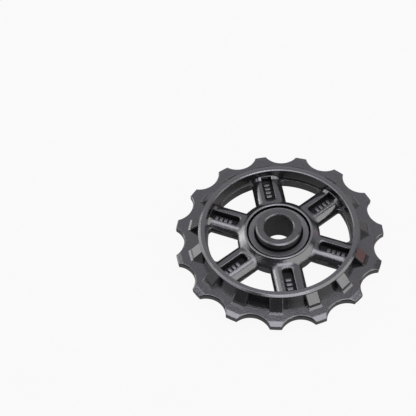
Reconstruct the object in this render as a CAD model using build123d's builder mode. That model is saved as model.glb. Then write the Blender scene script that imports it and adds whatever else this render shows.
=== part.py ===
from build123d import *

import os
from math import asin, cos, pi, sin

# Derailleur jockey wheel: a moulded toothed wheel that spins on a plain bush.
# The axis is Z, and the origin is the middle of the bush and of the tooth plate, in millimetres.
# The face with the ramps and the slotted spokes looks up (+Z), the smooth face looks down.

# Chain and teeth
tooth_count = 15
chain_pitch = 12.7
roller_diameter = 7.75
tooth_height = 2.66
tip_land = 3.17
plate_thickness = 2.0
tooth_edge_chamfer = 0.3
tooth_bevel_run = 1.5
tooth_bevel_fall = 0.25

# Bush
bush_bore_diameter = 8.2
bush_wall = 2.3
bush_length = 10.2
bush_bore_chamfer = 0.3
bush_edge_bevel_run = 0.5
bush_edge_bevel_fall = 0.22

# Hub: a sleeve that runs on the bush, a seal groove, a raised rim and a flared shoulder
running_clearance = 0.05
sleeve_wall = 1.95
sleeve_length = 5.4
sleeve_dish = 0.12
lead_in_width = 0.4
lead_in_depth = 0.6
seal_groove_width = 0.5
seal_groove_depth = 2.0
hub_rim_wall = 0.7
hub_length = 6.4
hub_rim_stand = 0.5
hub_edge_bevel_run = 0.25
hub_edge_bevel_fall = 0.1
shoulder_flare = 2.0
shoulder_fall = 1.25

# Spokes, and the windows between them
spoke_count = 6
spoke_width = 8.8
spoke_thickness = 4.0
spoke_side_height = 0.4
spoke_back_radius = 1.75
spoke_flare_run = 0.9
spoke_flare_angle = 26
slot_width = 3.0
slot_depth = 2.3
slot_hub_gap = 0.3
slot_corner_radius = 0.9
slot_edge_bevel_run = 0.12
slot_edge_bevel_fall = 0.08
slot_land = 0.05
window_overlap = 0.5
window_corner_radius = 1.3

# Rim: a tall ring above the plate, a lower bevelled ring below it
rim_setback = 4.17
rim_wall = 1.85
rim_height = 3.6
rim_wall_draft = 0.25
rim_crown_run = 0.7
rim_crown_fall = 0.3
rim_edge_bevel_run = 0.35
rim_edge_bevel_fall = 0.15
ledge_width = 0.4
back_ring_height = 2.9
back_ring_crest = 0.9
back_ring_bevel = 1.5
back_ring_edge_chamfer = 0.35

# Ramps that hold the chain's side plates off the rim, one at each tooth
ramp_width = 3.7
ramp_step = 0.6
ramp_run = 2.3
ramp_fall = 2.1
ramp_edge_chamfer = 0.25
nose_run = 0.35
nose_fall = 0.6
toe_run = 0.6

# Tooth outline: each gap is one arc, through two tip corners and the root between them
pitch_radius = chain_pitch / (2 * sin(pi / tooth_count))
root_radius = pitch_radius - roller_diameter / 2
tip_radius = root_radius + tooth_height
gap_half_angle = pi / tooth_count - asin(tip_land / (2 * tip_radius))
gap_half_chord = tip_radius * sin(gap_half_angle)
gap_depth = tip_radius * cos(gap_half_angle) - root_radius
gap_radius = (gap_half_chord**2 + gap_depth**2) / (2 * gap_depth)
gap_centre_radius = root_radius + gap_radius

# Radii, outwards from the axis
bush_bore_radius = bush_bore_diameter / 2
bush_radius = bush_bore_radius + bush_wall
hub_bore_radius = bush_radius + running_clearance
sleeve_radius = hub_bore_radius + sleeve_wall
seal_groove_radius = sleeve_radius + seal_groove_width
hub_rim_radius = seal_groove_radius + hub_rim_wall
spoke_start = hub_rim_radius - hub_rim_wall / 2
shoulder_radius = hub_rim_radius + shoulder_flare
slot_start = shoulder_radius + slot_hub_gap
crown_flat = slot_width + 2 * (slot_edge_bevel_run + slot_land)
rim_outer_radius = root_radius - rim_setback
rim_inner_radius = rim_outer_radius - rim_wall
rim_foot_inner_radius = rim_inner_radius - rim_wall_draft
window_radius = rim_foot_inner_radius - ledge_width
spoke_end = rim_inner_radius + rim_wall / 4
flare_start = rim_foot_inner_radius - spoke_flare_run
ramp_end = rim_outer_radius + ramp_run
nose_end = ramp_end + nose_run
toe_end = nose_end + toe_run

# Heights from the middle of the plate
bush_top = bush_length / 2
plate_top = plate_thickness / 2
sleeve_top = sleeve_length / 2
sleeve_inner_top = sleeve_top - sleeve_dish
hub_top = hub_length / 2
groove_floor = hub_top - seal_groove_depth
shoulder_top = hub_top - hub_rim_stand
spoke_top = spoke_thickness / 2
slot_floor = spoke_top - slot_depth
rim_top = plate_top + rim_height
back_ring_bottom = -plate_top - back_ring_height
ramp_top = rim_top - ramp_step
nose_top = ramp_top - ramp_fall
toe_top = nose_top - nose_fall

# Outline of one slot along +X: rounded at the hub end, open to the rim's inner wall
with BuildSketch() as slot_outline:
    with Locations((slot_start, 0)):
        Rectangle(spoke_end - slot_start, slot_width, align=(Align.MIN, Align.CENTER))
    fillet(slot_outline.vertices().group_by(Axis.X)[0], slot_corner_radius)
    Circle(rim_foot_inner_radius, mode=Mode.INTERSECT)

# One spoke along +X: a crowned bar that flares into the rim, with the slot's bevelled mouth
with BuildPart() as spoke:
    with BuildSketch(Plane.YZ.offset(spoke_start)) as spoke_section:
        with BuildLine():
            TangentArc((crown_flat / 2, spoke_top), (spoke_width / 2, spoke_side_height), tangent=(1, 0))
            Polyline(
                (spoke_width / 2, spoke_side_height),
                (spoke_width / 2, -spoke_top),
                (0, -spoke_top),
                (0, spoke_top),
                (crown_flat / 2, spoke_top),
            )
        make_face()
        mirror(about=Plane.YZ)
        fillet(spoke_section.vertices().group_by(Axis.Y)[0], spoke_back_radius)
    extrude(amount=flare_start - spoke_start)
    extrude(spoke.faces().sort_by(Axis.X)[-1], amount=spoke_end - flare_start, taper=-spoke_flare_angle)
    with BuildSketch(Plane.XY.offset(slot_floor)):
        add(slot_outline.sketch)
    extrude(amount=spoke_thickness, mode=Mode.SUBTRACT)
    spoke_face = spoke.faces().filter_by(Axis.Z).sort_by(Axis.Z)[-1]
    slot_mouth = spoke_face.edges().filter_by_position(Axis.Y, -slot_width / 2, slot_width / 2)
    slot_mouth = slot_mouth.filter_by_position(Axis.X, slot_start, flare_start)
    chamfer(slot_mouth, slot_edge_bevel_run, slot_edge_bevel_fall, reference=spoke_face)

# What the bevels take off one tooth along +X, on both faces
with BuildPart() as tip_bevel:
    with BuildSketch(Plane.XZ):
        with BuildLine():
            Polyline(
                (tip_radius - tooth_bevel_run, plate_top),
                (tip_radius, plate_top),
                (tip_radius, plate_top - tooth_bevel_fall),
                close=True,
            )
        make_face()
        mirror(about=Plane.XZ)
    extrude(amount=gap_half_chord, both=True)

# One ramp along +X: a sloped face, a steeper nose and a low toe on the plate
with BuildPart() as ramp:
    with BuildSketch(Plane.XZ):
        with BuildLine():
            Polyline(
                (spoke_end, 0),
                (spoke_end, ramp_top),
                (rim_outer_radius, ramp_top),
                (ramp_end, nose_top),
                (nose_end, toe_top),
                (toe_end, plate_top),
                (toe_end, 0),
                close=True,
            )
        make_face()
    extrude(amount=ramp_width / 2, both=True)
    side_edges = ramp.faces().filter_by(Axis.Y).edges()
    face_edges = side_edges.filter_by_position(Axis.X, rim_outer_radius, nose_end, (False, False))
    chamfer(face_edges.filter_by_position(Axis.Z, plate_top, ramp_top), ramp_edge_chamfer)

# Outline of the windows between the spokes
with BuildSketch() as windows:
    Circle(window_radius)
    Circle(shoulder_radius, mode=Mode.SUBTRACT)
    with PolarLocations(0, spoke_count):
        Rectangle(
            tip_radius,
            spoke_width - 2 * window_overlap,
            align=(Align.MIN, Align.CENTER),
            mode=Mode.SUBTRACT,
        )
    rim_corners = windows.vertices().sort_by_distance((0, 0))[2 * spoke_count :]
    fillet(rim_corners, window_corner_radius)

# The wheel, one moulding
with BuildPart() as toothed_wheel:
    # Tooth plate, bevelled towards the tips on both faces
    with BuildSketch() as tooth_outline:
        Circle(tip_radius)
        with PolarLocations(gap_centre_radius, tooth_count, start_angle=180 / tooth_count):
            Circle(gap_radius, mode=Mode.SUBTRACT)
    extrude(amount=plate_top, both=True)
    chamfer(toothed_wheel.faces().filter_by(Axis.Z).edges(), tooth_edge_chamfer)
    with PolarLocations(0, tooth_count):
        add(tip_bevel.part, mode=Mode.SUBTRACT)
    with BuildSketch():
        add(windows.sketch)
        Circle(hub_rim_radius)
    extrude(amount=plate_top, both=True, mode=Mode.SUBTRACT)

    # Rim
    with BuildSketch(Plane.XZ) as rim_section:
        with BuildLine():
            Polyline(
                (rim_foot_inner_radius, plate_top),
                (rim_inner_radius, rim_top - rim_edge_bevel_fall),
                (rim_inner_radius + rim_edge_bevel_run, rim_top),
                (rim_outer_radius - rim_crown_run, rim_top),
                (rim_outer_radius, rim_top - rim_crown_fall),
                (rim_outer_radius, back_ring_bottom),
                (rim_outer_radius - back_ring_crest, back_ring_bottom),
                (rim_foot_inner_radius, back_ring_bottom + back_ring_bevel),
                close=True,
            )
        make_face()
        back_edges = rim_section.vertices().group_by(Axis.Y)[0]
        chamfer(back_edges.sort_by(Axis.X)[-1], back_ring_edge_chamfer)
    revolve(axis=Axis.Z)

    # Spokes, whose slots go down into the plate
    with PolarLocations(0, spoke_count):
        add(spoke.part)
    with BuildSketch(Plane.XY.offset(slot_floor)):
        with PolarLocations(0, spoke_count):
            add(slot_outline.sketch)
    extrude(amount=plate_top - slot_floor, mode=Mode.SUBTRACT)

    # Hub, the same on both faces
    with BuildSketch(Plane.XZ):
        with BuildLine():
            Polyline(
                (hub_bore_radius, 0),
                (hub_bore_radius, hub_top - hub_edge_bevel_fall),
                (seal_groove_radius, hub_top - hub_edge_bevel_fall),
                (seal_groove_radius + hub_edge_bevel_run, hub_top),
                (hub_rim_radius - hub_edge_bevel_run, hub_top),
                (hub_rim_radius, hub_top - hub_edge_bevel_fall),
                (hub_rim_radius, shoulder_top),
                (shoulder_radius, shoulder_top - shoulder_fall),
                (shoulder_radius, 0),
                close=True,
            )
        make_face()
        mirror(about=Plane.XZ)
    revolve(axis=Axis.Z)
    with BuildSketch(Plane.XZ):
        with BuildLine():
            Polyline(
                (hub_bore_radius, hub_top),
                (hub_bore_radius, sleeve_inner_top - lead_in_depth),
                (hub_bore_radius + lead_in_width, sleeve_inner_top),
                (sleeve_radius, sleeve_top),
                (sleeve_radius, groove_floor),
                (seal_groove_radius, groove_floor),
                (seal_groove_radius, hub_top),
                close=True,
            )
        make_face()
        mirror(about=Plane.XZ)
    revolve(axis=Axis.Z, mode=Mode.SUBTRACT)

    # Ramps
    with PolarLocations(0, tooth_count):
        add(ramp.part)

# The bush
with BuildPart() as bush:
    with BuildSketch(Plane.XZ):
        with BuildLine():
            Polyline(
                (bush_bore_radius, 0),
                (bush_bore_radius, bush_top - bush_bore_chamfer),
                (bush_bore_radius + bush_bore_chamfer, bush_top),
                (bush_radius - bush_edge_bevel_run, bush_top),
                (bush_radius, bush_top - bush_edge_bevel_fall),
                (bush_radius, 0),
                close=True,
            )
        make_face()
        mirror(about=Plane.XZ)
    revolve(axis=Axis.Z)

os.makedirs("parts", exist_ok=True)
toothed_wheel.part.label = "toothed_wheel"
export_step(toothed_wheel.part, "parts/toothed_wheel.step")
bush.part.label = "bush"
export_step(bush.part, "parts/bush.step")
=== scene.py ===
import math

import bpy
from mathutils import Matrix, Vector


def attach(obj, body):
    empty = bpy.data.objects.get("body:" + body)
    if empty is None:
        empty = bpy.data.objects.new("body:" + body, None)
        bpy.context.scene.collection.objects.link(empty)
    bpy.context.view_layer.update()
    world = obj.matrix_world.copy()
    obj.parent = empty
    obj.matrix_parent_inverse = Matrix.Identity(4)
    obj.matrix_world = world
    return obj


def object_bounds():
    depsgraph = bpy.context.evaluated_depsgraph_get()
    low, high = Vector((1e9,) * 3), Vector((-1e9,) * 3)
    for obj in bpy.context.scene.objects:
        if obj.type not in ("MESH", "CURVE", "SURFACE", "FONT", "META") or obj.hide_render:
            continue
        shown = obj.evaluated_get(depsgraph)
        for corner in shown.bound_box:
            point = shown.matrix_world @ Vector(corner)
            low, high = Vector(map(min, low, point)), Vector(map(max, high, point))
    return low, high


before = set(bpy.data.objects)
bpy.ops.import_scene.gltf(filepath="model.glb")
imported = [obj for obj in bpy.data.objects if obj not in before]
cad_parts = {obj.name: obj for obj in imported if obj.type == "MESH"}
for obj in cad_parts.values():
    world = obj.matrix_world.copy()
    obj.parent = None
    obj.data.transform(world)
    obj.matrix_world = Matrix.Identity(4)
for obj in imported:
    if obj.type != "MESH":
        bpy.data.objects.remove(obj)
cad_low, cad_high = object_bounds()
scene = bpy.context.scene
scene.view_settings.view_transform = "Standard"
MM = 0.001
SPOKES = 6
SLOT_FLOOR = -0.3 * MM
SLOT_HALF_WIDTH = 1.5 * MM


# Zones over which a finish comes in or goes out: distances from the axle

BORE_ZONE = (4.12 * MM, 4.3 * MM)
BUSH_SIDE_ZONE = (6.3 * MM, 6.38 * MM)
SLEEVE_END_ZONE = (8.3 * MM, 8.38 * MM)
GROOVE_START_ZONE = (8.36 * MM, 8.42 * MM)
GROOVE_END_ZONE = (8.93 * MM, 8.98 * MM)
HUB_RIM_START_ZONE = (8.94 * MM, 9.0 * MM)
HUB_RIM_END_ZONE = (9.7 * MM, 9.8 * MM)
SHOULDER_START_ZONE = (9.7 * MM, 10.3 * MM)
SHOULDER_END_ZONE = (12.4 * MM, 13.4 * MM)
SLOT_END_ZONE = (19.9 * MM, 20.4 * MM)
TOOTH_ZONE = (26.2 * MM, 27.2 * MM)

# Zones by the distance from a spoke's middle line, and by the height over the middle of the tooth plate

SLOT_SIDE_ZONE = (SLOT_HALF_WIDTH, SLOT_HALF_WIDTH + 0.2 * MM)
SLOT_FLOOR_ZONE = (SLOT_FLOOR - 0.3 * MM, SLOT_FLOOR - 0.1 * MM)
SLOT_MOUTH_ZONE = (1.5 * MM, 1.85 * MM)
HUB_TOP_ZONE = (3.0 * MM, 3.12 * MM)
RAISED_RIM_ZONE = (4.4 * MM, 4.55 * MM)

# Zones of values that the nodes give: noise, openness, and agreement of a rounded normal with the true one

NOISE_ZONE = (0.3, 0.7)
OPEN_ZONE = (0.8, 0.96)
FLAT_ZONE = (0.82, 0.98)
WHOLE_ZONE = (0, 1)

# What the resins share

RESIN_IOR = 1.65
RESIN_SPECULAR = 1.0
# Near black painted into the seal groove as shade
GROOVE_SHADE = (0.004, 0.0038, 0.004)
CORNER_REACH = 0.5 * MM
CORNER_SAMPLES = 6
EDGE_SAMPLES = 8
# Painted highlight on the top of the raised rim: its largest share
RAISED_RIM_HIGHLIGHT = 0.3
SLEEVE_ROUGHNESS = 0.36
BORE_ROUGHNESS = 0.5
# Painted shade on the bush's side wall: how far its reflection is dimmed
BUSH_SIDE_SHADED_REFLECTION = 0.45

# A Mix node has a set of sockets for each kind of value, all with the same names, so these go by number

MIX_SHARE = 0
MIX_VECTOR_A, MIX_VECTOR_B, MIX_VECTOR_RESULT = 4, 5, 1
MIX_COLOUR_A, MIX_COLOUR_B, MIX_COLOUR_RESULT = 6, 7, 2


# Material helpers

def new_material(name):
    """An empty node material, ready for a finish."""
    material = bpy.data.materials.new(name)
    material.use_nodes = True
    material.node_tree.nodes.clear()
    return material, material.node_tree.nodes, material.node_tree.links


def object_place(nodes):
    """Where a point lies on the part, in metres."""
    return nodes.new("ShaderNodeTexCoord").outputs["Object"]


def coordinates(nodes, links, place):
    """The X, Y and Z of a place."""
    parts = nodes.new("ShaderNodeSeparateXYZ")
    links.new(place, parts.inputs["Vector"])
    return parts.outputs["X"], parts.outputs["Y"], parts.outputs["Z"]


def from_axle(nodes, links, place):
    """Distance from the axle, in metres."""
    flat = nodes.new("ShaderNodeVectorMath")
    flat.operation = "MULTIPLY"
    flat.inputs[1].default_value = (1, 1, 0)
    links.new(place, flat.inputs[0])
    distance = nodes.new("ShaderNodeVectorMath")
    distance.operation = "LENGTH"
    links.new(flat.outputs["Vector"], distance.inputs[0])
    return distance.outputs["Value"]


def noise(nodes, links, place, scale, detail, roughness=0.5):
    texture = nodes.new("ShaderNodeTexNoise")
    texture.inputs["Scale"].default_value = scale
    texture.inputs["Detail"].default_value = detail
    texture.inputs["Roughness"].default_value = roughness
    links.new(place, texture.inputs["Vector"])
    return texture.outputs["Fac"]


def spread(nodes, links, value, low, high, zone=NOISE_ZONE):
    """A value that runs from low to high over a zone of another value."""
    stretch = nodes.new("ShaderNodeMapRange")
    stretch.inputs["From Min"].default_value = zone[0]
    stretch.inputs["From Max"].default_value = zone[1]
    stretch.inputs["To Min"].default_value = low
    stretch.inputs["To Max"].default_value = high
    links.new(value, stretch.inputs["Value"])
    return stretch.outputs["Result"]


def past(nodes, links, value, zone):
    """0 before a zone and 1 past it."""
    return spread(nodes, links, value, 0, 1, zone)


def short_of(nodes, links, value, zone):
    """1 before a zone and 0 past it."""
    return spread(nodes, links, value, 1, 0, zone)


def sum_step(nodes, links, operation, first, second=None):
    """One step of arithmetic on a value, with another value or a plain number."""
    step = nodes.new("ShaderNodeMath")
    step.operation = operation
    links.new(first, step.inputs[0])
    if isinstance(second, (int, float)):
        step.inputs[1].default_value = second
    elif second is not None:
        links.new(second, step.inputs[1])
    return step.outputs["Value"]


def both(nodes, links, first, second):
    """The product of two shares."""
    return sum_step(nodes, links, "MULTIPLY", first, second)


def either(nodes, links, first, second):
    """The larger of two shares."""
    return sum_step(nodes, links, "MAXIMUM", first, second)


def eased(nodes, links, share, value, other):
    """A value that gives way to a plain number by a share."""
    mix = nodes.new("ShaderNodeMix")
    mix.inputs["B"].default_value = other
    links.new(share, mix.inputs["Factor"])
    links.new(value, mix.inputs["A"])
    return mix.outputs["Result"]


def tint(nodes, links, value, dark, light):
    """A colour that runs from dark to light with a noise value."""
    ramp = nodes.new("ShaderNodeValToRGB")
    for stop, position, colour in zip(ramp.color_ramp.elements, NOISE_ZONE, (dark, light)):
        stop.position = position
        stop.color = (*colour, 1)
    links.new(value, ramp.inputs["Fac"])
    return ramp.outputs["Color"]


def recoloured(nodes, links, share, colour, other):
    """A colour that gives way to another one by a share."""
    mix = nodes.new("ShaderNodeMix")
    mix.data_type = "RGBA"
    links.new(share, mix.inputs[MIX_SHARE])
    links.new(colour, mix.inputs[MIX_COLOUR_A])
    mix.inputs[MIX_COLOUR_B].default_value = (*other, 1)
    return mix.outputs[MIX_COLOUR_RESULT]


def bump(nodes, links, height, strength, distance, normal):
    relief = nodes.new("ShaderNodeBump")
    relief.inputs["Strength"].default_value = strength
    relief.inputs["Distance"].default_value = distance
    links.new(height, relief.inputs["Height"])
    links.new(normal, relief.inputs["Normal"])
    return relief.outputs["Normal"]


def outer_share(nodes, links):
    """1 on open faces and outer edges, 0 in the inner corners."""
    openness = nodes.new("ShaderNodeAmbientOcclusion")
    openness.samples = CORNER_SAMPLES
    openness.inputs["Distance"].default_value = CORNER_REACH
    return past(nodes, links, openness.outputs["AO"], OPEN_ZONE)


def soft_edge(nodes):
    """A node that gives the normal of rounded edges. Its radius is set or linked by the caller."""
    edge = nodes.new("ShaderNodeBevel")
    edge.samples = EDGE_SAMPLES
    return edge


def true_in_corners(nodes, links, normal, share):
    """A soft normal that gives way to the true one where its share is 0."""
    surface = nodes.new("ShaderNodeNewGeometry")
    mix = nodes.new("ShaderNodeMix")
    mix.data_type = "VECTOR"
    links.new(share, mix.inputs[MIX_SHARE])
    links.new(surface.outputs["Normal"], mix.inputs[MIX_VECTOR_A])
    links.new(normal, mix.inputs[MIX_VECTOR_B])
    return mix.outputs[MIX_VECTOR_RESULT]


def painted_edge_highlights(nodes, links, edge_normal, outer, colour, highlight_colour):
    """Lighter colour painted on the outer edges as a highlight, but not in the inner corners."""
    surface = nodes.new("ShaderNodeNewGeometry")
    agree = nodes.new("ShaderNodeVectorMath")
    agree.operation = "DOT_PRODUCT"
    links.new(edge_normal, agree.inputs[0])
    links.new(surface.outputs["Normal"], agree.inputs[1])
    edge = short_of(nodes, links, agree.outputs["Value"], FLAT_ZONE)
    return recoloured(nodes, links, both(nodes, links, edge, outer), colour, highlight_colour)


def resin_shader(nodes, links, colour, roughness, shine, normal):
    resin = nodes.new("ShaderNodeBsdfPrincipled")
    resin.inputs["IOR"].default_value = RESIN_IOR
    resin.inputs["Specular IOR Level"].default_value = RESIN_SPECULAR
    links.new(colour, resin.inputs["Base Color"])
    links.new(roughness, resin.inputs["Roughness"])
    links.new(shine, resin.inputs["Specular Tint"])
    links.new(normal, resin.inputs["Normal"])
    return resin.outputs["BSDF"]


def blended(nodes, links, share, shader, other):
    """A shader that gives way to another one by a share."""
    mix = nodes.new("ShaderNodeMixShader")
    links.new(share, mix.inputs["Fac"])
    links.new(shader, mix.inputs[1])
    links.new(other, mix.inputs[2])
    return mix.outputs["Shader"]


def to_surface(nodes, links, shader, output_type="ShaderNodeOutputMaterial"):
    output = nodes.new(output_type)
    links.new(shader, output.inputs["Surface"])


def seen_share(nodes, links, path):
    """1 for what the camera sees, straight or through something clear."""
    return either(nodes, links, path.outputs["Is Camera Ray"], path.outputs["Is Transmission Ray"])


# Places on the wheel

def off_spoke_line(nodes, links, place, reach):
    """Distance from the middle line of the nearest of the six spokes, in metres."""
    x, y, _ = coordinates(nodes, links, place)
    angle = sum_step(nodes, links, "ARCTAN2", y, x)
    swing = sum_step(nodes, links, "SINE", sum_step(nodes, links, "MULTIPLY", angle, SPOKES / 2))
    share = sum_step(nodes, links, "ABSOLUTE", swing)
    return sum_step(nodes, links, "DIVIDE", both(nodes, links, share, reach), SPOKES / 2)


def slot_share(nodes, links, place, reach):
    """1 on the floors and walls of the spokes' slots, 0 on the rest of the wheel."""
    _, _, height = coordinates(nodes, links, place)
    below_mouth = short_of(nodes, links, height, SLOT_MOUTH_ZONE)
    above_back = past(nodes, links, height, SLOT_FLOOR_ZONE)
    aside = off_spoke_line(nodes, links, place, reach)
    within = short_of(nodes, links, aside, SLOT_SIDE_ZONE)
    inner = short_of(nodes, links, reach, SLOT_END_ZONE)
    deep = both(nodes, links, below_mouth, above_back)
    return both(nodes, links, deep, both(nodes, links, within, inner))


def seal_groove_share(nodes, links, reach):
    """1 in the groove between the hub's sleeve and its rim, which gets painted shade and a rougher finish.
    """
    past_sleeve = past(nodes, links, reach, GROOVE_START_ZONE)
    short_of_rim = short_of(nodes, links, reach, GROOVE_END_ZONE)
    return both(nodes, links, past_sleeve, short_of_rim)


def rim_highlight_share(nodes, links, place, reach):
    """The share of painted highlight on the tops of the raised rim and of the hub's rims."""
    _, _, height = coordinates(nodes, links, place)
    raised_rim = spread(nodes, links, height, 0, RAISED_RIM_HIGHLIGHT, RAISED_RIM_ZONE)
    hub_top = past(nodes, links, sum_step(nodes, links, "ABSOLUTE", height), HUB_TOP_ZONE)
    past_groove = past(nodes, links, reach, HUB_RIM_START_ZONE)
    on_hub = short_of(nodes, links, reach, HUB_RIM_END_ZONE)
    hub_rim = both(nodes, links, hub_top, both(nodes, links, past_groove, on_hub))
    return either(nodes, links, raised_rim, hub_rim)


def shoulder_share(nodes, links, reach):
    """1 on the flare between the hub's rim and the spokes."""
    past_rim = past(nodes, links, reach, SHOULDER_START_ZONE)
    short_of_slots = short_of(nodes, links, reach, SHOULDER_END_ZONE)
    return both(nodes, links, past_rim, short_of_slots)


# Finishes

def moulded_resin(
    name, edge_radius, hub_blend, tooth_blend, dark, light, highlight_colour, roughness, recess_roughness, recess_shaded_reflection
):
    """Satin charcoal resin: soft moulded edges, wider blends at hub and teeth, speckle and a fine grain."""
    material, nodes, links = new_material(name)
    place = object_place(nodes)
    reach = from_axle(nodes, links, place)
    outer = outer_share(nodes, links)
    groove = seal_groove_share(nodes, links, reach)
    recess = either(nodes, links, slot_share(nodes, links, place, reach), groove)

    shoulder = shoulder_share(nodes, links, reach)
    at_teeth = spread(nodes, links, reach, edge_radius, tooth_blend, TOOTH_ZONE)
    at_hub = spread(nodes, links, shoulder, edge_radius, hub_blend, WHOLE_ZONE)
    wide = soft_edge(nodes)
    links.new(either(nodes, links, at_hub, at_teeth), wide.inputs["Radius"])
    soft = either(nodes, links, outer, shoulder)
    skin = true_in_corners(nodes, links, wide.outputs["Normal"], soft)
    ripple = noise(nodes, links, place, scale=2200, detail=2)
    skin = bump(nodes, links, ripple, strength=0.6, distance=0.03 * MM, normal=skin)
    grain = noise(nodes, links, place, scale=5200, detail=3, roughness=0.55)
    skin = bump(nodes, links, grain, strength=0.6, distance=0.02 * MM, normal=skin)

    speckle = noise(nodes, links, place, scale=2600, detail=2, roughness=0.6)
    colour = tint(nodes, links, speckle, dark, light)
    # Painted highlight: the tops of the rims are painted lighter.
    colour = recoloured(nodes, links, rim_highlight_share(nodes, links, place, reach), colour, highlight_colour)
    edge = soft_edge(nodes)
    edge.inputs["Radius"].default_value = edge_radius
    # Painted highlight: a lighter colour along the outer edges.
    colour = painted_edge_highlights(nodes, links, edge.outputs["Normal"], outer, colour, highlight_colour)
    # Painted shade: the seal groove is painted near black, where shade falls.
    colour = recoloured(nodes, links, groove, colour, GROOVE_SHADE)

    clouds = noise(nodes, links, place, scale=260, detail=4, roughness=0.6)
    gloss = spread(nodes, links, clouds, *roughness)
    sleeve = short_of(nodes, links, reach, SLEEVE_END_ZONE)
    gloss = eased(nodes, links, sleeve, gloss, SLEEVE_ROUGHNESS)
    gloss = eased(nodes, links, recess, gloss, recess_roughness)
    # Painted shade: the reflection is dimmed in the slots and the seal groove, where shade falls.
    shine = spread(nodes, links, recess, 1, recess_shaded_reflection, WHOLE_ZONE)
    to_surface(nodes, links, resin_shader(nodes, links, colour, gloss, shine, skin))
    return material


def turned_resin(name, edge_radius, dark, light, highlight_colour, bore_colour, roughness):
    """The bush's resin: the same charcoal with fine rings round the axis."""
    material, nodes, links = new_material(name)
    place = object_place(nodes)
    reach = from_axle(nodes, links, place)
    bore = short_of(nodes, links, reach, BORE_ZONE)

    edge = soft_edge(nodes)
    edge.inputs["Radius"].default_value = edge_radius
    rings = nodes.new("ShaderNodeTexWave")
    rings.wave_type = "RINGS"
    rings.rings_direction = "Z"
    rings.inputs["Scale"].default_value = 420
    rings.inputs["Distortion"].default_value = 2.5
    rings.inputs["Detail"].default_value = 2
    rings.inputs["Detail Scale"].default_value = 6
    links.new(place, rings.inputs["Vector"])
    skin = edge.outputs["Normal"]
    skin = bump(nodes, links, rings.outputs["Fac"], strength=0.4, distance=0.02 * MM, normal=skin)
    grain = noise(nodes, links, place, scale=2600, detail=3, roughness=0.55)
    skin = bump(nodes, links, grain, strength=0.4, distance=0.03 * MM, normal=skin)

    clouds = noise(nodes, links, place, scale=420, detail=4, roughness=0.6)
    colour = tint(nodes, links, clouds, dark, light)
    # Painted highlight: a lighter colour along the bush's outer edges.
    colour = painted_edge_highlights(nodes, links, edge.outputs["Normal"], outer_share(nodes, links), colour, highlight_colour)
    colour = recoloured(nodes, links, bore, colour, bore_colour)

    gloss = eased(nodes, links, bore, spread(nodes, links, clouds, *roughness), BORE_ROUGHNESS)
    # Painted shade: the reflection on the bush's side wall is dimmed, as that wall lies in shade.
    shine = spread(nodes, links, reach, 1, BUSH_SIDE_SHADED_REFLECTION, BUSH_SIDE_ZONE)
    to_surface(nodes, links, resin_shader(nodes, links, colour, gloss, shine, skin))
    return material


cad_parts["toothed_wheel"].material_slots[0].material = moulded_resin(
    "wheel_resin",
    edge_radius=0.18 * MM,
    hub_blend=1.3 * MM,
    tooth_blend=0.45 * MM,
    dark=(0.003, 0.0029, 0.0032),
    light=(0.026, 0.0252, 0.0275),
    highlight_colour=(0.085, 0.082, 0.086),
    roughness=(0.07, 0.13),
    recess_roughness=0.6,
    recess_shaded_reflection=0.12,
)
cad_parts["bush"].material_slots[0].material = turned_resin(
    "bush_resin",
    edge_radius=0.2 * MM,
    dark=(0.008, 0.0077, 0.0086),
    light=(0.014, 0.0136, 0.0150),
    highlight_colour=(0.05, 0.048, 0.051),
    bore_colour=(0.026, 0.0245, 0.0255),
    roughness=(0.13, 0.22),
)


# Rows of small plain pads on the floors of the spokes' slots

PAD_TOP = 0.3 * MM
PAD_START = 14.2 * MM
PAD_LENGTH = 0.95 * MM
PAD_PITCH = 1.4 * MM
PADS_IN_ROW = 4
PAD_WIDTH = 1.7 * MM
PAD_SINK = 0.1 * MM
PAD_CORNER = 0.25 * MM
PAD_TOP_EDGE = 0.12 * MM
PAD_EDGE_BLEND = 0.1 * MM
SMOOTH_ANGLE = math.radians(35)


def deselect_all():
    if bpy.context.mode != "OBJECT":
        bpy.ops.object.mode_set(mode="OBJECT")
    bpy.ops.object.select_all(action="DESELECT")


def model_slot_pads(name):
    """One row of raised pads along +X, with rounded corners and softened top edges."""
    deselect_all()
    bpy.ops.mesh.primitive_cube_add(
        size=1,
        location=(PAD_START + PAD_LENGTH / 2, 0, (SLOT_FLOOR - PAD_SINK + PAD_TOP) / 2),
        scale=(PAD_LENGTH, PAD_WIDTH, PAD_TOP - SLOT_FLOOR + PAD_SINK),
    )
    pad = bpy.context.object
    pad.name = name
    bpy.ops.object.transform_apply(location=True, rotation=True, scale=True)
    bpy.ops.object.mode_set(mode="EDIT")
    bpy.ops.mesh.select_mode(type="EDGE")
    bpy.ops.mesh.select_all(action="DESELECT")
    bpy.ops.object.mode_set(mode="OBJECT")
    for edge in pad.data.edges:
        a, b = (pad.data.vertices[i].co for i in edge.vertices)
        edge.select = abs(a.z - b.z) > PAD_SINK
    bpy.ops.object.mode_set(mode="EDIT")
    bpy.ops.mesh.bevel(offset=PAD_CORNER, segments=4)
    bpy.ops.mesh.select_mode(type="FACE")
    bpy.ops.mesh.select_all(action="DESELECT")
    bpy.ops.object.mode_set(mode="OBJECT")
    for face in pad.data.polygons:
        face.select = face.normal.z > 0.9
    bpy.ops.object.mode_set(mode="EDIT")
    bpy.ops.mesh.bevel(offset=PAD_TOP_EDGE, segments=3)
    bpy.ops.object.mode_set(mode="OBJECT")
    bpy.ops.object.modifier_add(type="ARRAY")
    row = pad.modifiers[-1]
    row.count = PADS_IN_ROW
    row.use_relative_offset = False
    row.use_constant_offset = True
    row.constant_offset_displace = (PAD_PITCH, 0, 0)
    bpy.ops.object.modifier_apply(modifier=row.name)
    bpy.ops.object.shade_smooth_by_angle(angle=SMOOTH_ANGLE)
    return pad


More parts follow.
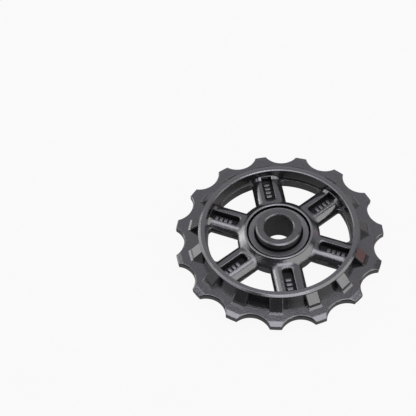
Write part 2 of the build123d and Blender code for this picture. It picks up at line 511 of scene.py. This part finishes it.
def copy_round_axis(piece, name, angle):
    """A copy with its own mesh, turned round the axle."""
    deselect_all()
    piece.select_set(True)
    bpy.context.view_layer.objects.active = piece
    bpy.ops.object.duplicate(linked=False)
    copy = bpy.context.object
    copy.name = name
    copy.rotation_euler = (0, 0, angle)
    bpy.ops.object.transform_apply(location=True, rotation=True, scale=True)
    return copy


pads = [model_slot_pads("slot_pads_1")]
for spoke in range(1, SPOKES):
    turn = math.radians(360 / SPOKES * spoke)
    pads.append(copy_round_axis(pads[0], f"slot_pads_{spoke + 1}", turn))
# The pads take a lighter copy of the wheel's resin with near-white edges: painted highlight, for letters
# that catch the light.
lit_pad_resin = moulded_resin(
    "slot_pad_resin",
    edge_radius=PAD_EDGE_BLEND,
    hub_blend=PAD_EDGE_BLEND,
    tooth_blend=PAD_EDGE_BLEND,
    dark=(0.05, 0.049, 0.051),
    light=(0.075, 0.073, 0.0765),
    highlight_colour=(0.3, 0.295, 0.305),
    roughness=(0.26, 0.4),
    recess_roughness=0.3,
    recess_shaded_reflection=1.0,
)
for pad in pads:
    pad.data.materials.append(lit_pad_resin)
    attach(pad, "wheel")


# Floor

FLOOR_SIZE = 8
FLOOR_WHITE_SEEN = 0.93
FLOOR_WHITE_REFLECTED = 0.1


def white_floor():
    """Pale floor that the camera sees as white with a faint shadow, and that reflects dimly."""
    material, nodes, links = new_material("white_floor")
    paper = noise(nodes, links, object_place(nodes), scale=40, detail=3)
    matt = nodes.new("ShaderNodeBsdfDiffuse")
    links.new(tint(nodes, links, paper, (0.25, 0.24, 0.23), (0.27, 0.26, 0.25)), matt.inputs["Color"])
    glow = nodes.new("ShaderNodeEmission")
    path = nodes.new("ShaderNodeLightPath")
    seen = sum_step(nodes, links, "MULTIPLY", seen_share(nodes, links, path), FLOOR_WHITE_SEEN)
    reflected = sum_step(nodes, links, "MULTIPLY", path.outputs["Is Glossy Ray"], FLOOR_WHITE_REFLECTED)
    white = either(nodes, links, seen, reflected)
    to_surface(nodes, links, blended(nodes, links, white, matt.outputs["BSDF"], glow.outputs["Emission"]))
    return material


deselect_all()
bpy.ops.mesh.primitive_plane_add(size=FLOOR_SIZE, location=(0, 0, cad_low[2]))
floor = bpy.context.object
floor.name = "floor"
bpy.ops.object.transform_apply(location=True, rotation=True, scale=True)
floor.data.materials.append(white_floor())


# Studio light. Azimuth is measured from the front, where the camera stands, towards its right.

FRONT = math.radians(-71)
LAMP_DISTANCE = 0.6
WHITE = (1.0, 1.0, 1.0)
COOL = (0.98, 0.965, 1.06)
WARM = (1.0, 0.48, 0.46)


def softbox(name, azimuth, elevation, width, height, radiance, colour=WHITE):
    """A soft panel that faces the part, sized by the angles it spans and by its brightness."""
    a = FRONT + math.radians(azimuth)
    e = math.radians(elevation)
    away = Vector((math.cos(a) * math.cos(e), math.sin(a) * math.cos(e), math.sin(e)))
    size_x = 2 * LAMP_DISTANCE * math.tan(math.radians(width / 2))
    size_y = 2 * LAMP_DISTANCE * math.tan(math.radians(height / 2))
    deselect_all()
    bpy.ops.object.light_add(type="AREA", location=away * LAMP_DISTANCE)
    lamp = bpy.context.object
    lamp.name = name
    lamp.rotation_euler = away.to_track_quat("Z", "Y").to_euler()
    lamp.data.shape = "RECTANGLE"
    lamp.data.size = size_x
    lamp.data.size_y = size_y
    lamp.data.energy = radiance * math.pi * size_x * size_y
    lamp.data.color = colour


# Each line gives azimuth, elevation, width and height in degrees, then the radiance and a colour
softbox("overhead_back_softbox", 180, 80.4, 38, 29.4, 2.9, COOL)
softbox("overhead_front_softbox", 22, 76, 26, 20, 3.0, COOL)
softbox("right_softbox", 67, 46, 60, 44, 1.95)
softbox("right_low_softbox", 74, 18, 28, 16, 1.6)
softbox("right_warm_panel", 112, 8, 36, 20, 0.65, WARM)
softbox("left_front_panel", -80, 22, 26, 24, 0.32)
softbox("left_low_softbox", -118, 14, 38, 26, 1.9)
softbox("left_bright_strip", -115, 26, 26, 12, 2.4)
softbox("left_high_softbox", -114, 44, 34, 24, 1.2)
softbox("upper_left_panel", -85, 60, 34, 18, 1.5, COOL)
softbox("back_panel", -174, 31, 124, 66, 0.55, COOL)


def studio_world():
    """A faint cool fill on the part, and plain white behind the floor's far edge."""
    world = bpy.data.worlds.new("studio")
    world.use_nodes = True
    nodes, links = world.node_tree.nodes, world.node_tree.links
    nodes.clear()
    fill = nodes.new("ShaderNodeBackground")
    fill.inputs["Color"].default_value = (0.9, 0.92, 1.0, 1)
    fill.inputs["Strength"].default_value = 0.09
    white = nodes.new("ShaderNodeBackground")
    white.inputs["Color"].default_value = (0.95, 0.95, 0.95, 1)
    seen = seen_share(nodes, links, nodes.new("ShaderNodeLightPath"))
    sky = blended(nodes, links, seen, fill.outputs["Background"], white.outputs["Background"])
    to_surface(nodes, links, sky, "ShaderNodeOutputWorld")
    return world


scene.world = studio_world()


# Camera, fitted to the outline of the teeth

CAMERA_PLACE = (0.04494701, -0.13053433, 0.19648329)
CAMERA_TURN_DEGREES = (37.13824754, 3.54222195, 22.24072419)

deselect_all()
bpy.ops.object.camera_add(
    location=CAMERA_PLACE,
    rotation=[math.radians(d) for d in CAMERA_TURN_DEGREES],
)
camera = bpy.context.object
camera.name = "camera"
camera.data.sensor_width = 36
camera.data.lens = 73.21664
camera.data.clip_start = 0.005
camera.data.clip_end = 10
scene.camera = camera
